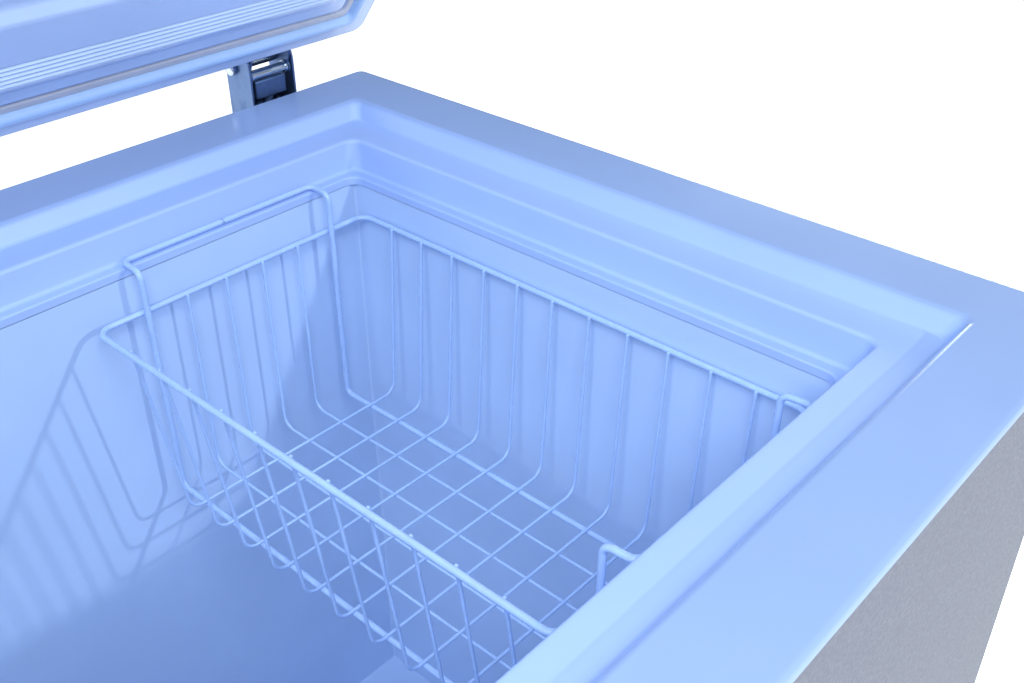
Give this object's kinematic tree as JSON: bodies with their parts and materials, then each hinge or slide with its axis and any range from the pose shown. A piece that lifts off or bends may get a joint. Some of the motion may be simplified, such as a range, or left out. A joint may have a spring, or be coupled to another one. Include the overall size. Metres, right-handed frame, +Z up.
{
  "type": "chest freezer",
  "caption": "Chest freezer with its lid held open on sprung hinges, a stepped white top frame and a wire basket hung on the frame's inner ledge.",
  "frame": {"origin": "middle of the whole object's footprint box with the lid at rest, on the floor", "axes": "+X to the right seen from the front, +Y to the rear, +Z up"},
  "size_m": [0.8, 0.5908, 1.2948],
  "materials": {
    "frame_plastic": "gloss",
    "painted_steel": "satin",
    "lid_paint": "gloss",
    "liner_plastic": "satin",
    "coated_wire": "satin",
    "zinc_steel": "zinc plated",
    "black_enamel": "satin",
    "copper_tube": "drawn",
    "foam": "matte",
    "black_rubber": "matte",
    "gasket": "satin",
    "dark_plastic": "matte",
    "lamp_green": "gloss",
    "lamp_amber": "gloss",
    "lamp_red": "gloss"
  },
  "bodies": {
    "cabinet": {"top_frame": "frame_plastic", "cabinet_wrap": "painted_steel", "rear_panel": "painted_steel", "base_pan": "zinc_steel", "inner_liner": "liner_plastic", "foam_fill": "foam", "evaporator_coil": "copper_tube", "condenser_coil": "copper_tube", "compressor": "black_enamel", "compressor_rail": "zinc_steel", "compressor_mount_front_left": "black_rubber", "compressor_mount_front_right": "black_rubber", "compressor_mount_rear_left": "black_rubber", "compressor_mount_rear_right": "black_rubber", "relay_box": "dark_plastic", "discharge_pipe": "copper_tube", "suction_pipe": "copper_tube", "filter_drier": "copper_tube", "compressor_grille": "frame_plastic", "control_plate": "frame_plastic", "thermostat_body": "dark_plastic", "lamp_power": "lamp_green", "lamp_running": "lamp_amber", "lamp_alarm": "lamp_red", "drain_pipe": "dark_plastic", "cord_gland": "black_rubber", "hinge_base_left": "painted_steel", "hinge_base_right": "painted_steel", "hinge_pin_left": "zinc_steel", "hinge_pin_right": "zinc_steel", "hinge_spring_left": "zinc_steel", "hinge_spring_right": "zinc_steel", "hinge_screw_left_a": "zinc_steel", "hinge_screw_left_b": "zinc_steel", "hinge_screw_right_a": "zinc_steel", "hinge_screw_right_b": "zinc_steel"},
    "lid": {"lid_skin": "lid_paint", "lid_liner": "liner_plastic", "lid_foam": "foam", "lid_gasket": "gasket", "lid_handle": "frame_plastic", "handle_screw_left": "zinc_steel", "handle_screw_right": "zinc_steel", "hinge_arm_left": "painted_steel", "hinge_arm_right": "painted_steel", "hinge_follower_left": "zinc_steel", "hinge_follower_right": "zinc_steel", "arm_screw_left": "zinc_steel", "arm_screw_right": "zinc_steel"},
    "plunger_left": {"hinge_plunger_left": "zinc_steel"},
    "plunger_right": {"hinge_plunger_right": "zinc_steel"},
    "basket": {"wire_basket": "coated_wire"},
    "knob": {"thermostat_knob": "frame_plastic"},
    "outlet_cap": {"drain_cap": "frame_plastic"},
    "floor_plug": {"drain_plug": "frame_plastic"},
    "foot_front_left": {"foot_front_left": "dark_plastic"},
    "foot_front_right": {"foot_front_right": "dark_plastic"},
    "foot_rear_left": {"foot_rear_left": "dark_plastic"},
    "foot_rear_right": {"foot_rear_right": "dark_plastic"}
  },
  "joints": [
    {"name": "lid_hinge", "type": "hinge", "parent": "cabinet", "child": "lid", "pos_m": [0, 0.27625, 0.81635], "axis": [-1, 0, 0], "range_deg": [-53.2, 36.8]},
    {"name": "plunger_left_slide", "type": "slide", "parent": "cabinet", "child": "plunger_left", "axis": [0, 0, 1], "range_m": [-0.0119, 0.0083], "deforming": ["hinge_spring_left"]},
    {"name": "plunger_right_slide", "type": "slide", "parent": "cabinet", "child": "plunger_right", "axis": [0, 0, 1], "range_m": [-0.0119, 0.0083], "deforming": ["hinge_spring_right"]},
    {"name": "basket_slide", "type": "slide", "parent": "cabinet", "child": "basket", "axis": [-1, 0, 0], "range_m": [0, 0.415]},
    {"name": "knob_turn", "type": "hinge", "parent": "cabinet", "child": "knob", "pos_m": [0.35, -0.27444, 0.15], "axis": [0, 1, 0], "range_deg": [0, 300]},
    {"name": "outlet_cap_pull", "type": "slide", "parent": "cabinet", "child": "outlet_cap", "axis": [0, -1, 0], "range_m": [0, 0.03]},
    {"name": "floor_plug_pull", "type": "slide", "parent": "cabinet", "child": "floor_plug", "axis": [0, 0, 1], "range_m": [0, 0.05]},
    {"name": "foot_front_left_turn", "type": "hinge", "parent": "cabinet", "child": "foot_front_left", "pos_m": [-0.34, -0.21444, 0], "axis": [0, 0, 1], "range_deg": [-180, 180]},
    {"name": "foot_front_right_turn", "type": "hinge", "parent": "cabinet", "child": "foot_front_right", "pos_m": [0.34, -0.21444, 0], "axis": [0, 0, 1], "range_deg": [-180, 180]},
    {"name": "foot_rear_left_turn", "type": "hinge", "parent": "cabinet", "child": "foot_rear_left", "pos_m": [-0.34, 0.19556, 0], "axis": [0, 0, 1], "range_deg": [-180, 180]},
    {"name": "foot_rear_right_turn", "type": "hinge", "parent": "cabinet", "child": "foot_rear_right", "pos_m": [0.34, 0.19556, 0], "axis": [0, 0, 1], "range_deg": [-180, 180]}
  ],
  "couplings": [
    {"joint": "plunger_left_slide", "follows": "lid_hinge", "m_per_rad": 0.0127},
    {"joint": "plunger_right_slide", "follows": "lid_hinge", "m_per_rad": 0.0127}
  ]
}
